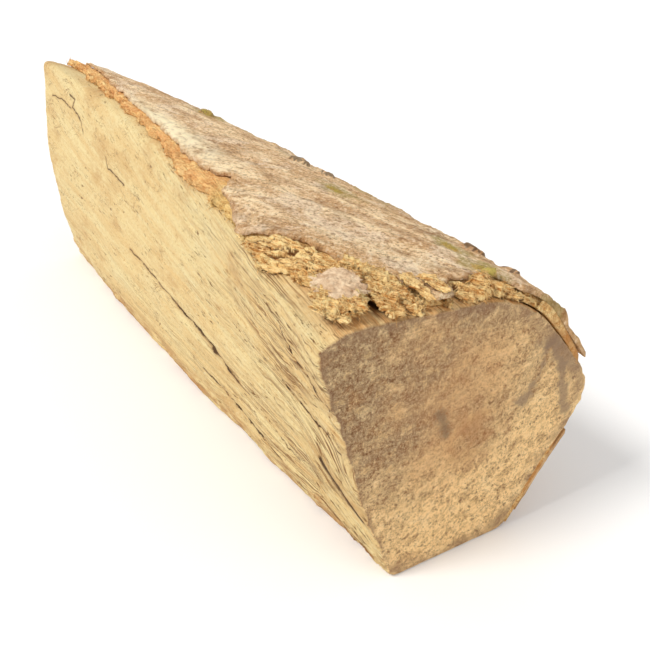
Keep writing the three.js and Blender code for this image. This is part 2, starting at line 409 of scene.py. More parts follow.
def softLight(name, shine, power, spread, tint):  # a broad even light, shining from one direction
    light = bpy.data.objects.new(name, bpy.data.lights.new(name, "SUN"))
    light.data.energy, light.data.angle, light.data.color = power, math.radians(spread), tint
    light.location = Vector(shine) * 2
    aimedFrom(light, Vector(shine))


softLight("keyLight", (-0.66, 0.05, 0.75), 1.95, 16, (1.0, 0.985, 0.95))
softLight("sideLight", (0.25, -0.9, 0.5), 0.45, 50, (1.0, 1.0, 1.0))
world = bpy.data.worlds.new("studio")
bpy.context.scene.world = world
world.use_nodes = True
world.node_tree.nodes["Background"].inputs[0].default_value = (1.0, 1.0, 1.0, 1)
world.node_tree.nodes["Background"].inputs[1].default_value = 0.64

floorReach, floorTop = 9000, -0.4
floorCorners = [(a * floorReach, b * floorReach, floorTop) for a, b in ((-1, -1), (1, -1), (1, 1), (-1, 1))]
floor = meshPiece("floor", floorCorners, [(0, 1, 2, 3)], smooth=False)
floorPaint, floorShader, *_ = newFinish("paleFloor")
floorShader.inputs["Base Color"].default_value = paint(252, 252, 252)
floorShader.inputs["Roughness"].default_value = 0.9
floor.data.materials.append(floorPaint)
print("studio ready")


# the wood

wood = {
    "rows": 310, "riven": 150, "round": 84, "base": 20, "frontRings": 42, "backRings": 12,
    "ringSpacing": 1.3,
    "fibre": 0.34, "ledge": 1.0, "wear": 0.9, "sawMark": 0.12,
    # dull arms of the knot on the front cut, as [x, height] in mm, with their half width and darkness
    "knot": [
        ([(45, 106), (42, 92), (34, 78)], 4.0, 0.75),
        ([(45, 106), (54, 96), (58, 84), (64, 64)], 5.0, 0.75),
        ([(50, 108), (58, 96), (66, 88)], 9.0, 0.65),
        ([(36, 110), (46, 108), (52, 112)], 5.0, 0.5),
    ],
    # checks on the riven face, as [place along, height] in mm, with their half width and depth; each gets a
    # soft painted shadow beside it and a dark line of painted shade inside it, darker for the deeper ones
    "checks": [
        ([(58, 71), (31, 68.5), (-1, 65), (-40, 61)], 0.6, 0.4),
        ([(-30, 62), (-51, 60), (-76, 58), (-101, 52), (-118, 50)], 1.1, 1.2),
        ([(-110, 51), (-132, 48), (-158, 40), (-182, 35)], 0.35, 0.4),
        ([(-214, 57.5), (-222.5, 51), (-229.5, 46.4), (-236.6, 42.5), (-240, 39.5)], 2.3, 1.0),
        ([(188, 158), (176, 156), (182, 149), (163, 144), (155, 134)], 0.6, 0.6),
        ([(232, 151), (210, 151), (185, 148)], 0.5, 0.5),
        ([(102, 127), (97, 120), (79, 118), (64, 116)], 0.6, 0.6),
        ([(-196, 121), (-211, 112), (-228, 109), (-242, 104)], 0.5, 1.0),
        ([(-150, 92), (-185, 84), (-215, 80), (-240, 79)], 0.5, 1.0),
        ([(-60, 30), (-110, 24), (-160, 17)], 0.6, 1.0),
    ],
}


def fanGrain(y, z):  # the grain rises towards the back, and drops at the front's lower corner
    drop = np.maximum(-195 - y, 0) * 0.62 * softStep(95, 55, z)
    return (z + drop) / (1 + 0.0000035 * (y + 250) ** 2)


def woodPoints():
    shares = crowded(wood["rows"], 1.22)
    sides = {
        "riven": np.linspace(0, 1, wood["riven"] + 1)[:-1],
        "round": crowded(wood["round"] + 1, 1.35)[:-1],
        "base": np.linspace(0, 1, wood["base"] + 1)[:-1],
    }
    flat, region, along = [], [], []
    for side, columns in sides.items():
        grid = sideGrid(side, np.append(columns, 1.0), shares)
        flat.append(smoothRows(grid, {"riven": 60, "round": 12, "base": 0}[side])[:, :-1])
        region += [side] * len(columns)
        along += list(columns)
    points = placed(np.concatenate(flat, 1), shares)
    wrapped = np.concatenate([points[:, -1:], points, points[:, :1]], 1)
    return points, outward(wrapped)[:, 1:-1], np.array(region), np.array(along)


def buildWood():
    points, normal, region, along = woodPoints()
    ring = points.shape[1]
    x, y, z = points[..., 0], points[..., 1], points[..., 2]
    isRiven, isRound, isBase = (region == side for side in ("riven", "round", "base"))

    # torn fibres on the riven face, rougher towards the front and along the lower edge
    grain = warped(np.stack([fanGrain(y, z), y, 0 * y], -1), (14, 60, 1), 1.2, 3)
    rough = 0.55 + 0.75 * softStep(60, -200, y) + 0.8 * softStep(30, 4, z)
    fibres = layered(grain, (3.0, 80, 1), 3, 5) * wood["fibre"]
    ledges = flaky(grain, (14, 170, 1), 2.0, 11) * wood["ledge"]
    splinters = np.maximum(layered(grain, (2.2, 24, 1), 2, 19) - 0.1, 0) * 0.55
    riven = (fibres + ledges + splinters) * rough + layered(points, (60, 120, 60), 2, 23) * 1.3
    lowEdge = softStep(16, 0, z) * isRiven
    riven = riven + lowEdge * (flaky(grain, (5, 34, 1), 2.0, 27) * 2.2 - 0.6)
    for path, halfWidth, depth in wood["checks"]:
        wiggle = layered(points, (8, 8, 8), 3, 31)[..., None] * 1.1
        away = distanceToPath(np.stack([y, z], -1) + wiggle, path)
        tip = np.minimum(np.abs(y - path[0][0]), np.abs(y - path[-1][0]))
        wide = halfWidth * (0.35 + 0.65 * softStep(0, 24, tip))
        groove = np.clip(1.6 - away / wide, 0, 1) * isRiven
        riven = riven - groove * depth * softStep(0, 20, tip)

    # smooth sapwood where the bark is gone, with shallow flutes
    flutes = layered(np.stack([x + 0.2 * y, y, z], -1), (4.5, 110, 30), 3, 41) * 0.4
    knot = hump(y, cadLow[1] + 12, 20) * hump(z, 70, 24) * softStep(40, 62, x)
    knobbly = layered(points, (7, 7, 7), 3, 47) * 1.5 * knot
    under = layered(grain, (8, 90, 8), 2, 53) * 0.2
    relief = np.where(isRiven, riven, np.where(isRound, flutes + knobbly, under))
    cornerEase = np.minimum(softStep(0, 0.03, along), softStep(1, 0.97, along))
    relief = relief * np.where(isBase, 0.3 * cornerEase, 0.45 + 0.55 * cornerEase)
    fromFront = y - frontAt(x, z)
    chipped = wood["wear"] * (0.7 + 0.8 * np.maximum(layered(points, (5, 40, 5), 3, 61), -0.8))
    relief = relief - chipped * np.clip(1 - fromFront / 2.4, 0, 1) ** 2 * np.where(isBase, 0.5, 1)
    relief = relief - 1.2 * np.clip(1 - (backY - y) / 3.0, 0, 1) ** 2
    sideways = normal.copy()
    sideways[..., 1] = 0
    points = points + sideways * relief[..., None]
    squareCorner = softStep(100, 245, y) * np.exp(-((x + 43) ** 2 + (z - 169) ** 2) / 12 ** 2)
    points = points + squareCorner[..., None] * np.array([-0.8, 0, 6.4])
    points[..., 2] = np.maximum(points[..., 2], 0)

    def cap(edge, count, sign):  # rings that shrink towards the middle of a sawn end
        centre = edge.mean(0)
        keep = 1 - (np.arange(1, count) / count)[:, None] ** wood["ringSpacing"]
        rings, ringLine = [], edge
        for share in keep:  # each ring is smoother than the one outside it
            for _ in range(6):
                ringLine = (np.roll(ringLine, 1, 0) + 2 * ringLine + np.roll(ringLine, -1, 0)) / 4
            rings.append(centre + (ringLine - centre) * share)
        rings = np.array(rings)
        lines = layered(rings, (90, 1, 1.5), 2, 71) * wood["sawMark"]
        lines = lines + layered(rings, (2.2, 1, 2.2), 2, 73) * 0.14
        lines = lines + layered(rings, (16, 1, 16), 2, 75) * 0.25
        plane = frontAt(rings[..., 0], rings[..., 2]) if sign < 0 else np.full(rings.shape[:2], backY)
        rimEase = softStep(0, 3, np.linalg.norm(rings - edge, axis=-1))
        rings[..., 1] = edge[None, :, 1] + (plane + sign * lines - edge[None, :, 1]) * rimEase
        return rings, np.array([centre[0], plane[-1].mean(), centre[2]])

    front, frontMiddle = cap(points[0], wood["frontRings"], -1)
    rear, rearMiddle = cap(points[-1], wood["backRings"], 1)
    body = points.reshape(-1, 3)
    everything = np.concatenate([
        body, front.reshape(-1, 3), rear.reshape(-1, 3), [frontMiddle], [rearMiddle]])
    rows = len(points)
    faces = gridFaces(rows, ring, 0, True).tolist()
    frontStart = len(body)
    rearStart = frontStart + front.shape[0] * ring
    i = np.arange(ring)
    after = (i + 1) % ring
    faces += np.stack([frontStart + i, frontStart + after, after, i], -1).tolist()
    faces += gridFaces(front.shape[0], ring, frontStart, True)[:, ::-1].tolist()
    lastFront = frontStart + (front.shape[0] - 1) * ring
    faces += np.stack([lastFront + after, lastFront + i, np.full(ring, len(everything) - 2)], -1).tolist()
    lastRow = (rows - 1) * ring
    faces += np.stack([lastRow + i, lastRow + after, rearStart + after, rearStart + i], -1).tolist()
    faces += gridFaces(rear.shape[0], ring, rearStart, True).tolist()
    lastRear = rearStart + (rear.shape[0] - 1) * ring
    faces += np.stack([lastRear + i, lastRear + after, np.full(ring, len(everything) - 1)], -1).tolist()

    # a place across the grain in mm, which turns with the surface over the top edge
    steps = np.linalg.norm(np.diff(points, axis=1, prepend=points[:, -1:])[..., [0, 2]], axis=-1)
    girth = fanGrain(y, z)
    firstRound = np.argmax(isRound)
    overTop = np.cumsum(np.where(isRound, steps, 0), axis=1)
    girth = np.where(isRound, girth[:, firstRound - 1:firstRound] + overTop, girth)
    capCount = len(everything) - len(body)
    bare = softStep(-60, -115, y + 0.5 * (x + 40)) * softStep(0.0, 0.07, along) * isRound
    ringShare = (np.arange(1, wood["frontRings"]) / wood["frontRings"]) ** wood["ringSpacing"]
    rimming = np.repeat(softStep(0.10, 0.0, ringShare), ring)
    marks = {
        "sapwood": np.append(np.broadcast_to(bare, y.shape), np.zeros(capCount)),
        "girth": np.append(girth, everything[len(body):, 2]),
        "sawn": np.append(softStep(0.9, 0.0, fromFront), np.ones(capCount)),
        "rimming": np.concatenate([np.zeros(len(body)), rimming, np.zeros(capCount - len(rimming))]),
    }
    return meshPiece("splitWood", everything, faces, marks)


def woodFinish():
    material, shader, x, y, z = newFinish("rivenWood")
    make = x  # any wire can make nodes

    # riven face: cream wood with fine fibres, short brown dashes and a few crooked dark lines
    grain = markOn(make, "girth")
    streak = make.noise(make.vector(grain * 0.15, y * 0.007, x * 0.02), detail=5.0, rough=0.6, bend=0.4)
    fine = make.noise(make.vector(grain * 1.6, y * 0.030, x * 0.1), detail=5.0, rough=0.68)
    cloud = make.noise(make.vector(y * 0.013, z * 0.024, x * 0.01), detail=6.0, rough=0.68)
    mealy = make.noise(make.vector(y * 0.40, z * 0.6, x * 0.5), detail=5.0, rough=0.8)
    frontShare = y.step(0, -235)
    cream = streak.step(0.36, 0.66).mixed(paint(255, 231, 170), paint(248, 214, 150))
    cream = coated(
        cream,
        (cloud.step(0.50, 0.66) * 0.8, (228, 186, 124)),
        (cloud.step(0.46, 0.32) * 0.5, (255, 238, 184)),
        (fine.step(0.51, 0.66) * (0.28 + frontShare * 0.32), (198, 144, 82)),
        (mealy.step(0.54, 0.66) * 0.6, (192, 140, 82)),
        (mealy.step(0.46, 0.34) * 0.45, (255, 246, 206)),
    )
    patchy = make.noise(make.vector(y * 0.014, z * 0.05, 4.0), detail=3.0)
    wander = grain + (make.noise(make.vector(y * 0.02, z * 0.03, 8.0), detail=3.0) - 0.5) * 6
    for size, phase in ((0.26, 7.0), (0.52, 11.0)):
        thin = make.noise(make.vector(wander * size, y * 0.005, x * 0.01 + phase), detail=2.5, rough=0.55)
        lineShare = patchy.step(0.36, 0.60) * (frontShare * 0.95 + z.step(70, 34) * 0.3)
        cream = (thin.near(0.5, 0.030) * lineShare).math("MINIMUM", 0.8).mixed(cream, paint(132, 84, 42))
    dashNoise = make.noise(make.vector(grain * 0.8, y * 0.10, x * 0.1 + 5), detail=4.0, rough=0.68)
    rare = make.noise(make.vector(y * 0.02 + 3, z * 0.03, 0.0), detail=3.0)
    often = rare.step(0.38, 0.56) * 0.9 + frontShare * 0.4
    dash = dashNoise.step(0.610 - frontShare * 0.03, 0.650) * often
    cream = (dash * 0.85).math("MINIMUM", 0.9).mixed(cream, paint(136, 90, 46))
    crooked = make.noise(make.vector(y * 0.022 + 9, z * 0.045, 0.0), detail=6.0, rough=0.72, bend=1.2)
    somewhere = make.noise(make.vector(y * 0.03, z * 0.04 + 7, 0.0), detail=1.0).step(0.50, 0.60)
    cream = (crooked.near(0.5, 0.012) * somewhere * y.step(-120, 20) * 0.9).mixed(cream, paint(150, 100, 54))
    frayed = make.noise(make.vector(y * 0.05, z * 0.25, x * 0.1), detail=5.0).step(0.42, 0.58)
    cream = (z.step(24, 0) * frayed * 0.7).mixed(cream, paint(186, 126, 72))
    wiggle = (make.noise(make.vector(y * 0.09, z * 0.09, 0.0), detail=4.0, rough=0.65) - 0.5) * 7
    onLeft = x.step(-20, -34)
    # painted shade for each check: a soft brown shadow beside it and a dark line of shade along it
    for path, halfWidth, depth in wood["checks"]:
        crack = awayFrom(y + wiggle, z + wiggle * -0.6, path)
        checkShadow = crack.step(halfWidth * 5, 0.0) * onLeft
        cream = (checkShadow * 0.4).mixed(cream, paint(186, 134, 78))
        core = crack.step(halfWidth * 1.5, halfWidth * 0.4) * onLeft
        cream = (core * min(0.65 + depth * 0.3, 0.95)).mixed(cream, paint(78, 48, 24))

    # sawn ends: tan, stained grey-brown at the upper left, grainy, with dark specks and a dull knot
    broad = make.noise(make.vector(x * 0.020, z * 0.020, 5.0), detail=5.0, rough=0.62)
    blotch = make.noise(make.vector(x * 0.085, z * 0.085, 9.0), detail=6.0, rough=0.68)
    stain = (z - 80) * 0.0085 - x * 0.005 + 0.48 + (broad - 0.5) * 1.7 + (blotch - 0.5) * 0.8
    slope, across = x * 0.8 + z * 0.6, z * 0.8 - x * 0.6
    hatch = make.noise(make.vector(slope * 0.13, across * 0.42, 3.0), detail=6.0, rough=0.72, bend=0.5)
    hatchPlace = z.step(105, 40).math("MAXIMUM", x.step(-10, 40)) * 0.4 + 0.12
    pore = make.noise(make.vector(x * 0.46, z * 0.42, 1.0), detail=6.0, rough=0.88)
    cluster = make.noise(make.vector(x * 0.13, z * 0.13, 21.0), detail=5.0, rough=0.65)
    crowd = cluster.step(0.34, 0.58) * 0.55 + 0.32
    speck = make.noise(make.vector(x * 0.8, z * 0.7, 12.0), detail=5.0, rough=0.9)
    spot = make.noise(make.vector(x * 0.28, z * 0.30, 31.0), detail=3.0, rough=0.6)
    cut = make.noise(make.vector(x * 0.014, z * 1.1, 2.0), detail=2.0)
    brown = ((x - 5) * (x - 5) + (z - 69) * (z - 69)).math("SQRT") + (blotch - 0.5) * 90
    reddish = ((x + 12) * (x + 12) + (z - 84) * (z - 84)).math("SQRT")
    reddish = reddish + (broad - 0.5) * 110 + (blotch - 0.5) * 60
    grey = awayFrom(x, z, [(-17, 88), (-14, 82), (-12, 76)]) + (pore - 0.5) * 16
    tan = stain.step(0.0, 1.1).mixed(paint(255, 214, 150), paint(164, 132, 96))
    tan = coated(
        tan,
        (blotch.step(0.51, 0.68) * 0.7, (176, 128, 80)),
        (blotch.step(0.48, 0.34) * 0.5, (252, 222, 168)),
        (hatch.step(0.50, 0.66) * hatchPlace, (150, 104, 60)),
        (hatch.step(0.46, 0.34) * hatchPlace, (255, 226, 170)),
        (cluster.step(0.52, 0.62) * 0.4, (150, 98, 54)),
        (cluster.step(0.46, 0.36) * 0.35, (250, 208, 144)),
        (pore.step(0.50, 0.60) * crowd, (122, 72, 36)),
        (pore.step(0.48, 0.40) * 0.4, (255, 222, 164)),
        (speck.step(0.54, 0.62) * crowd * 0.9, (92, 54, 28)),
        (speck.step(0.47, 0.40) * 0.4, (255, 230, 178)),
        (spot.step(0.62, 0.68) * 0.7, (110, 66, 34)),
        (cut.step(0.56, 0.68) * z.step(60, 90) * 0.3, (140, 106, 72)),
        (brown.step(24, 0) * 0.5, (150, 90, 44)),
        (reddish.step(54, 8) * 0.35, (214, 154, 98)),
        (grey.step(5, 0) * 0.6, (96, 78, 62)),
    )
    # the knot: dull grey arms that spread downwards from its top
    blur = (blotch - 0.5) * 22 + (pore - 0.5) * 8
    for path, reach, dark in wood["knot"]:
        arm = awayFrom(x, z, path) + blur
        tan = (arm.step(reach, reach * 0.1) * dark).mixed(tan, paint(146, 118, 92))
    edge = markOn(make, "rimming")
    tan = (edge * blotch.step(0.35, 0.55) * 0.6).mixed(tan, paint(146, 112, 84))

    # sapwood where the bark is gone: golden, fluted along the grain
    lean = x - y * 0.14 + z * 0.25
    flute = make.noise(make.vector(lean * 0.30, y * 0.009, 3.0), detail=5.0, rough=0.62)
    scratch = make.noise(make.vector(lean * 1.1, y * 0.030, 6.0), detail=5.0, rough=0.68)
    golden = flute.step(0.36, 0.64).mixed(paint(255, 224, 164), paint(228, 176, 112))
    golden = coated(
        golden,
        (scratch.step(0.52, 0.64) * 0.75, (160, 100, 50)),
        (mealy.step(0.54, 0.70) * 0.4, (196, 138, 82)),
        (flute.near(0.5, 0.014) * 0.6, (150, 96, 50)),
    )
    # painted shadow in the hollow beside the rolled scrap of bark
    hollow = awayFrom(x, y, [(-47, -228), (-45.5, -236), (-44.5, -244)]) + (mealy - 0.5) * 2
    golden = (hollow.step(3.4, 0.8) * y.step(-250, -240) * 0.9).mixed(golden, paint(84, 50, 28))

    sawn = markOn(make, "sawn")
    colour = markOn(make, "sapwood").mixed(cream, golden.dimmed(1.27))
    colour = sawn.mixed(colour.dimmed(0.88), tan.dimmed(1.24))
    rivenHeight = fine * 0.45 + streak * 0.3 + mealy * 0.35 - dash * 0.5
    sawnHeight = pore * 1.3 + speck * 0.9 + hatch * 0.2
    height = rivenHeight * (1 - sawn) + sawnHeight * sawn
    finish(shader, colour, streak * 0.2 + 0.62, height, 0.55, brightness=0.85)
    return material


woodPiece = finished(buildWood(), woodFinish(), "wood", "split_wood")
print("wood ready:", len(woodPiece.data.vertices), "points")


# bark laid over the round side

def coverOf(node, points, normal, reach=26.0):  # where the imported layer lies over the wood
    tree = treeOf(node)
    covered = np.zeros(points.shape[:2])
    starts = points + normal * reach
    for j, i in np.ndindex(covered.shape):
        covered[j, i] = tree.ray_cast(Vector(starts[j, i]), Vector(-normal[j, i]), reach + 1)[0] is not None
    return covered


def insideBy(points, covered):  # how far inside the layer's edge each point is, less than 0 outside, in mm
    edge = []
    for axis in (0, 1):
        first = points[:-1] if axis == 0 else points[:, :-1]
        second = points[1:] if axis == 0 else points[:, 1:]
        edge.append(((first + second) / 2)[np.diff(covered, axis=axis) != 0])
    edge = np.concatenate(edge)
    tree = KDTree(len(edge))
    for k, place in enumerate(edge):
        tree.insert(place, k)
    tree.balance()
    away = np.array([tree.find(place)[2] for place in points.reshape(-1, 3)]).reshape(covered.shape)
    return blurred(np.where(covered > 0, away, -away), 14)


# moves the outline's points onto the true edge, so that it shows no grid steps
def drawnIn(foot, inside, kept):
    rowRun, columnRun = np.gradient(foot, axis=0), np.gradient(foot, axis=1)
    rowRise, columnRise = np.gradient(inside)
    slope = rowRun * (rowRise / ((rowRun ** 2).sum(-1) + 1e-6))[..., None]
    slope += columnRun * (columnRise / ((columnRun ** 2).sum(-1) + 1e-6))[..., None]
    around = np.pad(kept, 1, constant_values=True)
    rows, columns = kept.shape
    whole = np.all([around[j:j + rows, i:i + columns] for j in range(3) for i in range(3)], 0)
    move = -slope * (inside / ((slope ** 2).sum(-1) + 0.05))[..., None]
    size = np.linalg.norm(move, axis=-1, keepdims=True)
    return foot + move * np.minimum(1, 1.5 / (size + 1e-6)) * (kept & ~whole)[..., None]


# a closed sheet over the cells in the layer, its sides crumbling outwards by some mm
def sheetPiece(name, foot, normal, low, high, inside, crumble, marks):
    kept = inside > -0.35
    foot = drawnIn(foot, inside, kept)
    rows, columns = kept.shape
    cells = kept[:-1, :-1] & kept[1:, :-1] & kept[:-1, 1:] & kept[1:, 1:]
    lower = foot + normal * low[..., None]
    upper = foot + normal * np.maximum(high, low + 0.15)[..., None]
    count = rows * columns
    number = np.arange(count).reshape(rows, columns)
    quads = np.stack([number[:-1, :-1], number[:-1, 1:], number[1:, 1:], number[1:, :-1]], -1)
    top = quads[cells]
    levels = 4  # the sheet's sides are built up of these, and crumble between the top and the bottom
    faces = [top, top[:, ::-1] + count * levels]
    flatFoot = foot.reshape(-1, 3)
    away = np.zeros_like(flatFoot)
    framed = np.zeros((rows + 1, columns + 1), bool)
    framed[1:-1, 1:-1] = cells
    for dj, di, a, b in ((-1, 0, 0, 1), (0, 1, 1, 2), (1, 0, 2, 3), (0, -1, 3, 0)):
        beside = framed[1 + dj:rows + dj, 1 + di:columns + di]
        edge = quads[cells & ~beside]
        outwards = flatFoot[edge[:, [a, b]]].mean(1) - flatFoot[edge].mean(1)
        for corner in (a, b):
            np.add.at(away, edge[:, corner], outwards)
        for level in range(levels):
            first, second = edge[:, a] + count * level, edge[:, b] + count * level
            faces.append(np.stack([second, first, first + count, second + count], -1))
    away = away / (np.linalg.norm(away, axis=1, keepdims=True) + 1e-9)
    faces = np.concatenate(faces)
    used, faces = np.unique(faces, return_inverse=True)
    faces = faces.reshape(-1, 4)
    points = []
    for level in range(levels + 1):
        line = (upper + (lower - upper) * level / levels).reshape(-1, 3)
        bulge = crumble * math.sin(math.pi * level / levels)
        points.append(line + away * (layered(line, (2.4, 3.0, 1.8), 3, 281) * bulge)[:, None])
    points = np.concatenate(points)[used]
    spread = {mark: np.tile(values.ravel(), levels + 1)[used] for mark, values in marks.items()}
    return meshPiece(name, points, faces.tolist(), spread)


def barkBed(shares, columns):  # the wood's round side under the bark, with its normals
    flat = smoothRows(sideGrid("round", columns, shares), 30)
    points = placed(flat, shares)
    normal = outward(points)
    normal[..., 1] = 0
    normal = normal / np.linalg.norm(normal, axis=-1, keepdims=True)
    return points, normal


drift = {"lean": 0.2, "bend": 0.00045}  # the bark's fibres drift to the right towards the front


def barkAcross(x, y):  # a place across the bark's fibres, from numbers or wires
    return x + y * drift["lean"] - y * y * drift["bend"]


def skinSetBack(x):  # how far the skin has broken back from the front cut, which bares a thick rim of bast
    return 12 * softStep(-18, -12, x) * softStep(20, 15, x)


def thinned(y, z):  # the bark thins towards the knot, low down on the right near the front
    return 1 - (0.32 * softStep(130, 100, z) + 0.26 * softStep(92, 76, z)) * softStep(-110, -190, y)


def clinging(y, z):  # where the bark lies down on the wood, low down on the right near the front
    return softStep(84, 70, z) * softStep(-150, -200, y)


bast = {
    "tornRows": 145, "rows": 110, "nearColumns": 146, "farColumns": 22, "tornTo": 0.245,
    "gap": 0.3, "thick": 4.8, "ragged": 3.6, "crumble": 1.3, "shreds": 190000,
}


def buildBast():
    shares = np.concatenate([
        np.linspace(0, bast["tornTo"], bast["tornRows"])[:-1],
        np.linspace(bast["tornTo"], 1, bast["rows"]),
    ])
    # a first look finds the left edge, which the columns then follow
    coarse = np.linspace(0, 1, 160)
    points, normal = barkBed(shares, coarse)
    covered = coverOf("inner_bark", points, normal)
    leftShare = coarse[covered.argmax(1)]
    leftShare = blurred(leftShare[:, None].repeat(2, 1), 10)[:, :1]
    around = np.linalg.norm(np.diff(points, axis=1), axis=-1).sum(1)[:, None]
    width = 16 + 58 * softStep(bast["tornTo"] + 0.03, bast["tornTo"] - 0.05, shares)[:, None]
    fine = -6 + (width + 6) * np.linspace(0, 1, bast["nearColumns"])
    nearColumns = leftShare + fine / around
    last = nearColumns[:, -1:]
    farColumns = last + (1 - last) * crowded(bast["farColumns"], 1.3)[1:]
    columns = np.clip(np.concatenate([nearColumns, farColumns], 1), 0.0005, 1)
    points, normal = barkBed(shares, columns)
    inside = insideBy(points, coverOf("inner_bark", points, normal))
    skinInside = insideBy(points, coverOf("outer_bark", points, normal))
    x, y, z = points[..., 0], points[..., 1], points[..., 2]
    fromFront = y - frontAt(x, z)
    bent = warped(points, (8, 8, 8), 1.5, 91)
    fibre = np.stack([barkAcross(bent[..., 0], bent[..., 1]), bent[..., 1], bent[..., 2]], -1)
    onRight = softStep(30, 55, x)
    inside = inside + layered(bent, (8, 12, 8), 4, 101) * bast["ragged"] * (1 - 0.6 * onRight)
    bareSpot = np.hypot((x + 13) / 4.5, (y + 249) / 6.5) - 1 + layered(bent, (4, 4, 4), 2, 103) * 0.5
    inside = np.minimum(inside, bareSpot * 4)
    chipped = softStep(-18, -12, x) * softStep(40, 25, x)  # the torn end stands back from the saw cut here
    endLine = chipped * (1.8 + layered(bent, (4.5, 4.5, 4.5), 3, 105) * 3.4)
    inside = np.where(chipped > 0.5, np.minimum(inside, fromFront - endLine), inside)
    inside = inside + 5.0 * hump(y, -62, 42) * softStep(-22, -34, x)  # it reaches the riven face here
    nearTear = softStep(0.265, 0.20, shares)[:, None] + 0 * x
    setBack = skinSetBack(x)
    bared = softStep(2.0, -1.0, skinInside)
    bared = np.maximum(bared, softStep(1.5, -1.0, fromFront - setBack) * (setBack > 0.5))

    # plates of torn layers, split into strips and threads with sharp creases between them
    plates = flaky(fibre, (9, 20, 9), 2.2, 111, 0.16)
    strips = np.abs(layered(fibre, (3.6, 20, 6), 3, 117) - 0.05)
    threads = np.abs(layered(fibre, (1.5, 15, 4), 2, 121) - 0.05)
    crumbs = layered(bent, (1.5, 2.2, 1.5), 2, 131)
    torn = plates * 4.0 + strips * 3.6 + threads * 1.8 + crumbs * 0.2 - 1.4
    slope = softStep(-0.5, 2.6, inside + layered(bent, (3, 5, 3), 2, 137) * 1.3)
    thick = bast["thick"] * thinned(y, z)
    lively = bared * (0.4 + 0.6 * nearTear) * (1 - 0.45 * onRight)
    top = bast["gap"] + 0.7 + (thick - 0.7) * slope + torn * lively * (0.45 + 0.55 * slope)
    rim = softStep(-17, -11, x) * softStep(22, 15, x) * softStep(14, 5, fromFront)
    top = top + rim * (2.2 + 2.0 * plates)
    top = np.where(bared > 0.5, top, np.minimum(top, bast["gap"] + thick))
    hollow = blurred(top, 9) - top  # creases lie lower than what is round them
    shade = softStep(0.0, 0.8, hollow) * bared * (0.4 + 0.6 * nearTear) * softStep(0.5, 2.5, inside)
    loose = np.maximum(0.7 + layered(bent, (7, 9, 7), 2, 143) * 2.2, 0)
    curlUp = softStep(4.0, 0.5, inside) * nearTear * bared * loose
    frayed = softStep(5.0, 0.5, inside) * 1.2 + 0.28 * nearTear + rim * 0.6
    marks = {"shade": shade, "fray": frayed * bared, "tear": nearTear, "brim": onRight}
    sunk = clinging(y, z)
    low = bast["gap"] + curlUp * 0.8 - 1.4 * sunk
    high = top + curlUp - 0.8 * sunk
    return sheetPiece("innerBark", points, normal, low, high, inside, bast["crumble"], marks)


def mottled(make, x, y, z):  # the pale grey-pink of thin old skin
    mottle = make.noise(make.vector(x * 0.22, y * 0.22, z * 0.22), detail=5.0, rough=0.7)
    return mottle.step(0.35, 0.65).mixed(paint(252, 224, 188), paint(214, 178, 142))


def bastFinish():
    material, shader, x, y, z = newFinish("tornBast")
    make = x
    across = barkAcross(x, y)
    fibre = make.noise(make.vector(across * 0.9, y * 0.12, z * 0.6), detail=5.0, rough=0.7, bend=0.4)
    grit = make.noise(make.vector(x * 0.9, y * 0.6, z * 0.9), detail=4.0, rough=0.75)
    clump = make.noise(make.vector(x * 0.10, y * 0.06, z * 0.10), detail=4.0, rough=0.6)
    far = markOn(make, "tear").step(0.5, 0.1)
    straw = y.step(-160, -135) * y.step(-85, -105)
    colour = fibre.step(0.36, 0.62).mixed(paint(208, 140, 70), paint(255, 218, 146))
    colour = coated(
        colour,
        (clump.step(0.48, 0.66) * 0.6, (206, 144, 76)),
        (clump.step(0.46, 0.34) * 0.45, (250, 222, 166)),
        (far * clump.step(0.30, 0.55) * 0.6, (224, 160, 102)),
        (straw * 0.5, (230, 202, 126)),
        (grit.step(0.54, 0.66) * 0.4, (148, 88, 40)),
        (grit.step(0.45, 0.33) * 0.4, (255, 226, 168)),
    )
    torn = markOn(make, "tear").step(0.2, 0.8) * 0.6 + 0.3
    # dark lines painted as shade in the splits between the fibres, with pale lines beside them painted as
    # highlights
    for size, phase in ((0.16, 3.0), (0.42, 8.0)):
        lying = make.vector(across * size, y * size * 0.13, z * size + phase)
        split = make.noise(lying, detail=5.0, rough=0.66)
        colour = (split.near(0.46, 0.022) * torn * 0.8).mixed(colour, paint(132, 76, 34))
        colour = (split.near(0.54, 0.04) * torn * 0.8).mixed(colour, paint(255, 230, 168))
    rimmed = markOn(make, "brim")
    colour = (rimmed * clump.step(0.30, 0.55) * 0.8).mixed(colour, paint(188, 124, 66))
    shade = markOn(make, "shade") + (fibre - 0.5) * 0.35
    colour = (shade.step(0.20, 0.85) * 0.92).mixed(colour, paint(96, 52, 22))
    grey = mottled(make, x, y, z)
    colour = markOn(make, "patch").step(0.3, 0.6).mixed(colour, grey)
    tone = markOn(make, "tone")
    colour = (tone.step(0.55, 1.0) * 0.5).mixed(colour, paint(255, 220, 158))
    colour = (tone.step(0.45, 0.05) * tone.step(0.0, 0.02) * 0.4).mixed(colour, paint(150, 96, 50))
    finish(shader, colour, fibre * 0.1 + 0.82, fibre * 1.3 + grit * 0.4, 1.0, 0.12, brightness=1.06)
    return material


tornBast = bastFinish()


# what grows on a surface, as node trees

def newTree(name, sockets):  # a geometry tree with named number inputs; gives back a wire for each
    tree = bpy.data.node_groups.new(name, "GeometryNodeTree")
    tree.interface.new_socket("Geometry", in_out="INPUT", socket_type="NodeSocketGeometry")
    tree.interface.new_socket("Geometry", in_out="OUTPUT", socket_type="NodeSocketGeometry")
    tree.interface.new_socket("Finish", in_out="INPUT", socket_type="NodeSocketMaterial")
    for socket, kind in sockets.items():
        tree.interface.new_socket(socket, in_out="INPUT", socket_type="NodeSocket" + kind)
    given = tree.nodes.new("NodeGroupInput")
    return tree, {socket.name: Wire(tree, socket) for socket in given.outputs if socket.name}


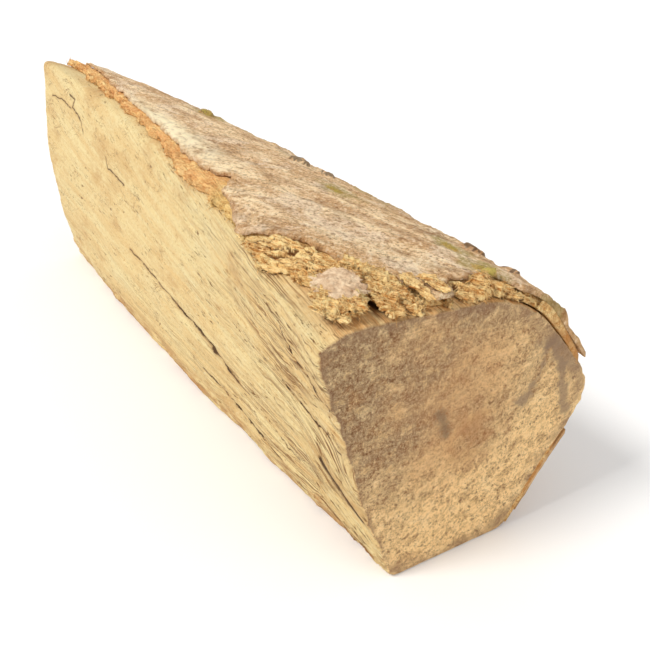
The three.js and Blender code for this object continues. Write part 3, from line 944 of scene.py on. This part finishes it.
def scattered(tree, given, leaf, weight, lean, joined=True):  # small closed shapes stood on a surface
    make = given["Density"]
    seed = given["Seed"]
    dots = make.node("GeometryNodeDistributePointsOnFaces",
                     {"Mesh": given["Geometry"], "Density": make * weight, "Seed": seed})
    normal = Wire(tree, dots.socket.node.outputs["Normal"])
    lying = make.node("FunctionNodeAlignRotationToVector",
                      {"Rotation": (0.0, 0.0, lean["turn"]), "Vector": normal}, axis="Z")
    wobble = make.node("FunctionNodeRandomValue", {0: lean["least"], 1: lean["most"], 8: seed},
                       data_type="FLOAT_VECTOR")
    turned = make.node("FunctionNodeRotateRotation",
                       {"Rotation": lying, "Rotate By": wobble}, rotation_space="LOCAL")
    size = make.node("FunctionNodeRandomValue", {0: lean["small"], 1: lean["large"], 8: seed + 7},
                     data_type="FLOAT_VECTOR")
    stood = make.node("GeometryNodeInstanceOnPoints",
                      {"Points": dots, "Instance": leaf, "Rotation": turned, "Scale": size})
    tone = make.node("FunctionNodeRandomValue", {2: 0.05, 3: 1.0, 8: seed + 13}, out=1, data_type="FLOAT")
    toned = make.node("GeometryNodeStoreNamedAttribute", {"Geometry": stood, "Name": "tone", "Value": tone},
                      data_type="FLOAT", domain="INSTANCE")
    whole = make.node("GeometryNodeRealizeInstances", {"Geometry": toned})
    if joined:
        both = tree.nodes.new("GeometryNodeJoinGeometry")
        tree.links.new(whole.socket, both.inputs[0])
        tree.links.new(given["Geometry"].socket, both.inputs[0])
        whole = Wire(tree, both.outputs[0])
    painted = make.node("GeometryNodeSetMaterial", {"Geometry": whole, "Material": given["Finish"]})
    end = tree.nodes.new("NodeGroupOutput")
    tree.links.new(painted.socket, end.inputs[0])
    return tree


def shredTree(name, joined):  # thin bent laths that taper to a point
    tree, given = newTree(name, {"Density": "Float", "Seed": "Int"})
    make = given["Density"]
    lath = make.node("GeometryNodeMeshCube", {"Size": (1.0, 0.2, 0.06), "Vertices X": 4})
    place = make.node("GeometryNodeInputPosition", {})
    split = tree.nodes.new("ShaderNodeSeparateXYZ")
    tree.links.new(place.socket, split.inputs[0])
    along, side, up = (Wire(tree, split.outputs[k]) for k in range(3))
    taper = 1.05 - (along + 0.5) * (along + 0.5)
    bent = make.vector(along + 0.2, side * taper, up * taper - along * along * 0.35)
    lath = make.node("GeometryNodeSetPosition", {"Geometry": lath, "Position": bent})
    weight = make.node("GeometryNodeInputNamedAttribute", {"Name": "fray"}, data_type="FLOAT")
    return scattered(tree, given, lath, weight, {
        "turn": -1.2, "least": (-0.5, -0.18, -0.24), "most": (0.5, 0.04, 0.24),
        "small": (0.0022, 0.0009, 0.0020), "large": (0.0085, 0.0022, 0.0040),
    }, joined)


def leafletTree():  # tiny pointed moss leaves
    tree, given = newTree("leaflets", {"Density": "Float", "Seed": "Int"})
    make = given["Density"]
    leaf = make.node("GeometryNodeMeshCone",
                     {"Vertices": 4, "Radius Top": 0.0, "Radius Bottom": 0.22, "Depth": 1.0})
    weight = make.node("GeometryNodeInputNamedAttribute", {"Name": "fray"}, data_type="FLOAT")
    return scattered(tree, given, leaf, weight, {
        "turn": 0.0, "least": (-0.9, -0.9, -3.1), "most": (0.9, 0.9, 3.1),
        "small": (0.0006, 0.0006, 0.0006), "large": (0.0012, 0.0012, 0.0014),
    })


def applied(piece, modifier):  # the piece as a plain mesh, with its modifier worked in
    seen = piece.evaluated_get(bpy.context.evaluated_depsgraph_get())
    mesh = bpy.data.meshes.new_from_object(seen)
    piece.modifiers.remove(modifier)
    plain = piece.data
    piece.data = mesh
    bpy.data.meshes.remove(plain)
    mesh.name = piece.name
    return piece


def grown(piece, tree, material, density, seed):
    modifier = piece.modifiers.new("grown", "NODES")
    modifier.node_group = tree
    given = {"Finish": material, "Density": float(density), "Seed": seed}
    for item in tree.interface.items_tree:
        if item.in_out == "INPUT" and item.name in given:
            modifier[item.identifier] = given[item.name]
    return applied(piece, modifier)


shreds = shredTree("shreds", True)
bastPiece = buildBast()
bastShreds = bpy.data.objects.new("barkShreds", bastPiece.data.copy())
bpy.context.scene.collection.objects.link(bastShreds)
grown(bastShreds, shredTree("onlyShreds", False), tornBast, bast["shreds"], 3)
finished(bastPiece, tornBast, "bast", "inner_bark")
finished(bastShreds, tornBast, "bast", "inner_bark")
print("inner bark ready:", len(bastPiece.data.vertices), "points")
print("its shreds ready:", len(bastShreds.data.vertices), "points")


# outer bark

mossNodes = ["moss_tuft_%d" % number for number in range(1, 6)]
skin = {
    "rows": 330, "columns": 145, "gap": 5.4, "thick": 2.2, "ragged": 2.0, "crumble": 0.7,
    # raised dark chips along the ridge, as x, y, reach and height in mm
    "chips": [
        (22, -62, 3.6, 2.2), (23, -88, 2.8, 1.6), (29, -206, 3.6, 2.2),
        (18, 62, 3.2, 2.4), (35, -228, 3.0, 1.6),
    ],
}


def buildSkin():
    shares = crowded(skin["rows"], 1.25)
    points, normal = barkBed(shares, crowded(skin["columns"], 1.15))
    inside = insideBy(points, coverOf("outer_bark", points, normal))
    x, y, z = points[..., 0], points[..., 1], points[..., 2]
    fromFront = y - frontAt(x, z)
    setBack = skinSetBack(x)
    inside = np.where(setBack > 0.5, np.minimum(inside, fromFront - setBack), inside)
    bent = warped(points, (12, 14, 12), 3.0, 191)
    onRight = softStep(35, 60, x)
    inside = inside + layered(bent, (10, 14, 10), 4, 201) * skin["ragged"] * (1 - 0.6 * onRight)
    fibre = np.stack([barkAcross(bent[..., 0], bent[..., 1]), bent[..., 1], bent[..., 2]], -1)
    ribs = layered(fibre, (18, 80, 30), 3, 211) * 0.6
    onRidge = softStep(8, 40, x) * (1 - 0.6 * softStep(62, 80, x))
    plates = flaky(fibre, (12, 36, 12), 2.0, 221)
    fissures = np.clip(0.10 - np.abs(layered(fibre, (12, 90, 16), 2, 231) - 0.16), 0, 1) * 7
    relief = ribs + plates * (0.35 + 0.9 * onRidge) - fissures * (0.35 + 0.6 * onRidge)
    relief = relief + layered(bent, (3.5, 4.5, 3.5), 3, 241) * (0.16 + 0.35 * onRidge) + onRidge * 0.9
    lumps = np.maximum(layered(bent, (24, 36, 24), 3, 251), 0) * 2.8 * onRidge
    chip = np.zeros_like(x)
    for chipX, chipY, reach, height in skin["chips"]:
        spread = np.hypot((bent[..., 0] - chipX) / reach, (bent[..., 1] - chipY) / (2.2 * reach))
        spread = spread + layered(bent, (4, 6, 4), 2, 257) * 0.25
        relief = relief + softStep(1.05, 0.75, spread) * height
        dark = softStep(1.35, 0.95, spread)
        chip = np.maximum(chip, dark * softStep(-0.5, -0.1, layered(bent, (3, 5, 3), 3, 259)))
    green = np.zeros_like(x)
    for node in mossNodes:  # the bark is green for some way round each tuft of moss
        tuft = facetsOf(node).reshape(-1, 3)
        middle, reach = (tuft.min(0) + tuft.max(0)) / 2, np.ptp(tuft, axis=0) / 2
        spread = np.hypot((x - middle[0]) / reach[0], (y - middle[1]) / reach[1])
        green = np.maximum(green, softStep(2.4, 0.6, spread + layered(bent, (6, 8, 6), 3, 271) * 0.9))
    slope = softStep(0, 1.4, inside)
    loose = np.maximum(0.35 + layered(bent, (14, 14, 14), 2, 261) * 1.6, 0)
    lift = softStep(6, 0, inside) * loose * (1 - onRight)
    sunk = clinging(y, z)
    thin = thinned(y, z)
    low = 0.6 + (skin["gap"] - 0.6) * thin + lift - 0.8 * sunk
    top = low + 0.3 + (skin["thick"] * (0.5 + 0.5 * thin) - 0.3) * slope
    top = top + (relief + lumps) * softStep(0, 5, inside) * thin
    marks = {
        "fissure": np.clip(fissures * 0.7, 0, 1), "edge": np.clip(inside / 8, 0, 1), "chip": chip,
        "ridge": onRidge, "thin": 1 - thin, "green": green,
    }
    return sheetPiece("outerBark", points, normal, low, top, inside, skin["crumble"], marks)


def skinFinish():
    material, shader, x, y, z = newFinish("paleBark")
    make = x
    across = barkAcross(x, y)
    broad = make.noise(make.vector(across * 0.045, y * 0.014, z * 0.04), detail=5.0, rough=0.62, bend=0.5)
    streak = make.noise(make.vector(across * 0.30, y * 0.016, z * 0.15), detail=6.0, rough=0.7, bend=0.3)
    mottle = make.noise(make.vector(across * 0.12, y * 0.07, z * 0.12), detail=7.0, rough=0.78)
    grit = make.noise(make.vector(x * 0.55, y * 0.42, z * 0.55), detail=6.0, rough=0.88)
    crack = make.noise(make.vector(across * 0.075, y * 0.010, z * 0.05), detail=6.0, rough=0.7, bend=0.3)
    patch = make.noise(make.vector(x * 0.040, y * 0.022, z * 0.04), detail=6.0, rough=0.66, bend=0.6)
    band = make.noise(make.vector(across * 0.10, y * 0.012, z * 0.09), detail=5.0, rough=0.68, bend=0.6)
    pale = x.near(-31, 18) * y.near(20, 130) * mottle.step(0.70, 0.46) * 1.3
    onRidge = markOn(make, "ridge")
    greenish = make.noise(make.vector(x * 0.05 + 4, y * 0.026, z * 0.05), detail=4.0, rough=0.62)
    chip = markOn(make, "chip")
    colour = broad.step(0.36, 0.60).mixed(paint(255, 226, 180), paint(216, 172, 122))
    colour = coated(
        colour,
        (band.step(0.50, 0.62) * 0.6, (196, 150, 106)),
        (patch.step(0.50, 0.58) * 0.7, (240, 214, 182)),
        (patch.step(0.45, 0.38) * 0.5, (204, 156, 102)),
        (mottle.step(0.51, 0.62) * 0.8, (176, 132, 88)),
        (mottle.step(0.47, 0.36) * 0.65, (254, 232, 192)),
        (streak.step(0.52, 0.64) * 0.25, (176, 130, 84)),
        (streak.step(0.47, 0.35) * 0.15, (255, 228, 182)),
        (grit.step(0.52, 0.60) * 0.85, (122, 80, 46)),
        (grit.step(0.48, 0.40) * 0.55, (255, 244, 214)),
        (pale.math("MINIMUM", 0.92), (255, 240, 200)),
        (crack.near(0.53, 0.010) * mottle.step(0.42, 0.56) * (0.35 + onRidge * 0.4), (124, 84, 50)),
        (onRidge * streak.step(0.40, 0.58) * 0.45, (172, 130, 82)),
        (greenish.step(0.53, 0.62) * onRidge * 0.5, (148, 132, 66)),
        (markOn(make, "green") * grit.step(0.36, 0.52) * 0.75, (158, 142, 72)),
        (markOn(make, "fissure") * 0.7, (112, 76, 48)),
        (markOn(make, "edge").step(0.30, 0.0) * 0.45, (178, 126, 78)),
        (chip.near(0.35, 0.35) * 0.4, (200, 138, 84)),
        (chip.step(0.40, 0.85) * 0.75, (92, 66, 46)),
        (markOn(make, "thin").step(0.1, 0.5) * 0.6, (206, 158, 104)),
    )
    height = streak * 0.25 + grit + mottle * 0.7
    finish(shader, colour, mottle * 0.1 + 0.78, height, 0.9, 0.2, brightness=1.07)
    return material


paleBark = skinFinish()
skinPiece = finished(buildSkin(), paleBark, "skin", "outer_bark")
print("outer bark ready:", len(skinPiece.data.vertices), "points")


# loose bark at the torn front

def evenCopy(name, node, cell):  # a merged copy of a node with small even faces, cell in mm
    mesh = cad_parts[node].data.copy()
    shape = bmesh.new()
    shape.from_mesh(mesh)
    bmesh.ops.remove_doubles(shape, verts=shape.verts, dist=0.00001)
    shape.to_mesh(mesh)
    shape.free()
    piece = bpy.data.objects.new(name, mesh)
    bpy.context.scene.collection.objects.link(piece)
    evener = piece.modifiers.new("even", "REMESH")
    evener.mode = "VOXEL"
    evener.voxel_size = cell / 1000
    even = applied(piece, evener).data
    even.polygons.foreach_set("use_smooth", [True] * len(even.polygons))
    return piece


def pointsOf(mesh, what="co"):
    values = np.empty(len(mesh.vertices) * 3)
    mesh.vertices.foreach_get(what, values)
    return values.reshape(-1, 3)


looseBark = {
    # cell in mm, turn the fibres' direction in degrees, rag at the outline, relief on top, shreds to a
    # square metre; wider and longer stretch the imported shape
    "bark_curl": {
        "cell": 0.5, "turn": -60, "rag": 2.6, "relief": 1.5, "shreds": 150000, "slot": "curl",
        "radial": True, "wider": 1.06, "longer": 0},
    "torn_strand_front": {
        "cell": 0.42, "turn": -72, "rag": 1.6, "relief": 1.5, "shreds": 130000, "slot": "strand",
        "radial": False, "wider": 1.3, "longer": 0.35},
    "torn_strand_back": {
        "cell": 0.42, "turn": -66, "rag": 1.8, "relief": 1.5, "shreds": 130000, "slot": "strand",
        "radial": False, "wider": 1.3, "longer": 0.35},
    "bark_flake_left": {
        "cell": 0.35, "turn": -70, "rag": 1.0, "relief": 0.7, "shreds": 90000, "slot": "flake",
        "radial": False, "wider": 1.2, "longer": 0.3},
    "bark_flake_right": {
        "cell": 0.35, "turn": -62, "rag": 1.0, "relief": 0.7, "shreds": 90000, "slot": "flake",
        "radial": False, "wider": 1.2, "longer": 0.3},
}


def buildLoose(node, look, seed):
    piece = evenCopy(node.replace("_", " ").title().replace(" ", ""), node, look["cell"])
    mesh = piece.data
    points = pointsOf(mesh) * 1000
    normal = pointsOf(mesh, "normal")
    along = np.array([math.cos(math.radians(look["turn"])), math.sin(math.radians(look["turn"])), 0])
    centre = (points.min(0) + points.max(0)) / 2
    points = centre + (points - centre) * np.array([look["wider"], look["wider"], 1])
    tip = ((points - centre) @ along).max()  # the front tip stays, and the rest reaches back
    points = points + ((points - centre) @ along - tip)[:, None] * along * look["longer"]
    across = np.array([-along[1], along[0], 0])
    bent = warped(points - centre, (6, 6, 6), 1.4, seed)
    fibre = np.stack([bent @ across, bent @ along, bent[:, 2]], -1)
    if look["radial"]:
        fibre[:, 0] = np.arctan2(bent[:, 1], bent[:, 0]) * 9
        fibre[:, 1] = np.hypot(bent[:, 0], bent[:, 1])
    rimward = np.hypot(normal[:, 0], normal[:, 1])
    comb = np.abs(layered(fibre, (1.7, 10, 1.8), 3, seed + 1) - 0.05) * 1.3 - 0.15
    clump = layered(fibre, (5, 9, 4), 3, seed + 2)
    topward = softStep(-0.2, 0.5, normal[:, 2])
    push = rimward * (comb * 1.6 + clump * 0.9) * look["rag"]
    rise = topward * (flaky(fibre, (5, 12, 3), 2.4, seed + 3) * 1.3 + comb * 1.5) * look["relief"]
    spread = np.linalg.norm((points - centre)[:, :2] / (np.ptp(points, 0)[:2] / 2), axis=1)
    worn = softStep(0.82, 0.60, spread + layered(bent, (5, 5, 5), 2, seed + 5) * 0.3)
    patch = worn * softStep(0.2, 0.6, normal[:, 2]) * (node == "bark_curl")
    rise = rise * (1 - 0.8 * patch)
    sideways = normal * np.array([1, 1, 0.15])
    moved = points + sideways * push[:, None] + np.array([0, 0, 1]) * rise[:, None]
    moved += normal * (layered(bent, (1.3, 1.8, 1.3), 2, seed + 4) * 0.35)[:, None]
    mesh.vertices.foreach_set("co", (moved / 1000).ravel())
    marks = {
        "shade": np.clip(softStep(0.06, -0.14, comb) * 0.8 + (0.2 - normal[:, 2]) * 0.35, 0, 0.9),
        "fray": softStep(0.45, 0.9, spread) * softStep(-0.6, 0.1, normal[:, 2]) * (1 - patch),
        "patch": patch,
        "tear": np.ones(len(points)),
    }
    markPoints(mesh, marks)
    grown(piece, shreds, tornBast, look["shreds"], seed)
    return finished(piece, tornBast, look["slot"], node)


for k, (node, look) in enumerate(looseBark.items()):
    piece = buildLoose(node, look, 301 + 10 * k)
    print("loose bark ready:", piece.name, len(piece.data.vertices), "points")


# moss

def mossFinish():
    material, shader, x, y, z = newFinish("dullMoss")
    make = x
    clump = make.noise(make.vector(x * 0.25, y * 0.25, z * 0.25), detail=4.0)
    tip = make.noise(make.vector(x * 1.4, y * 1.4, z * 1.4), detail=3.0)
    colour = clump.step(0.38, 0.62).mixed(paint(190, 170, 92), paint(206, 172, 112))
    colour = (tip.step(0.48, 0.62) * 0.5).mixed(colour, paint(132, 112, 58))
    colour = (markOn(make, "tone").step(0.5, 1.0) * 0.5).mixed(colour, paint(226, 206, 126))
    finish(shader, colour, tip * 0.1 + 0.85, tip + clump, 0.5, 0.1)
    return material


dullMoss = mossFinish()
leaflets = leafletTree()
skinTree = BVHTree.FromPolygons([vertex.co * 1000 for vertex in skinPiece.data.vertices],
                                [tuple(face.vertices) for face in skinPiece.data.polygons])


moss = {"cell": 0.8, "ragged": 0.45, "thick": 0.6, "leaflets": 1900000}
wellAbove = 220  # mm, higher than anything on the log


def buildMoss(node, number):
    piece = evenCopy("mossTuft%d" % number, node, moss["cell"])
    mesh = piece.data
    points = pointsOf(mesh) * 1000
    normal = pointsOf(mesh, "normal")
    centre = (points.min(0) + points.max(0)) / 2
    spread = np.linalg.norm((points - centre)[:, :2] / (np.ptp(points, 0)[:2] / 2), axis=1)
    edge = spread + layered(points, (5, 6, 5), 3, 401 + number) * moss["ragged"]
    heights = []
    for place in points:
        hit = skinTree.ray_cast(Vector((place[0], place[1], wellAbove)), Vector((0, 0, -1)))
        heights.append(hit[0].z if hit[0] else place[2])
    cover = moss["thick"] * softStep(1.0, 0.3, edge) - 0.38
    cover = cover + layered(points, (2.5, 2.5, 2.5), 2, 411 + number) * 0.25
    upper = normal[:, 2] > 0.1
    points[:, 2] = np.array(heights) + np.where(upper, cover, -1.2)
    mesh.vertices.foreach_set("co", (points / 1000).ravel())
    markPoints(mesh, {"fray": softStep(0.9, 0.5, edge) * upper})
    grown(piece, leaflets, dullMoss, moss["leaflets"], 7 + number)
    return finished(piece, dullMoss, "moss", node)


for number, node in enumerate(mossNodes, 1):
    buildMoss(node, number)
print("moss ready")
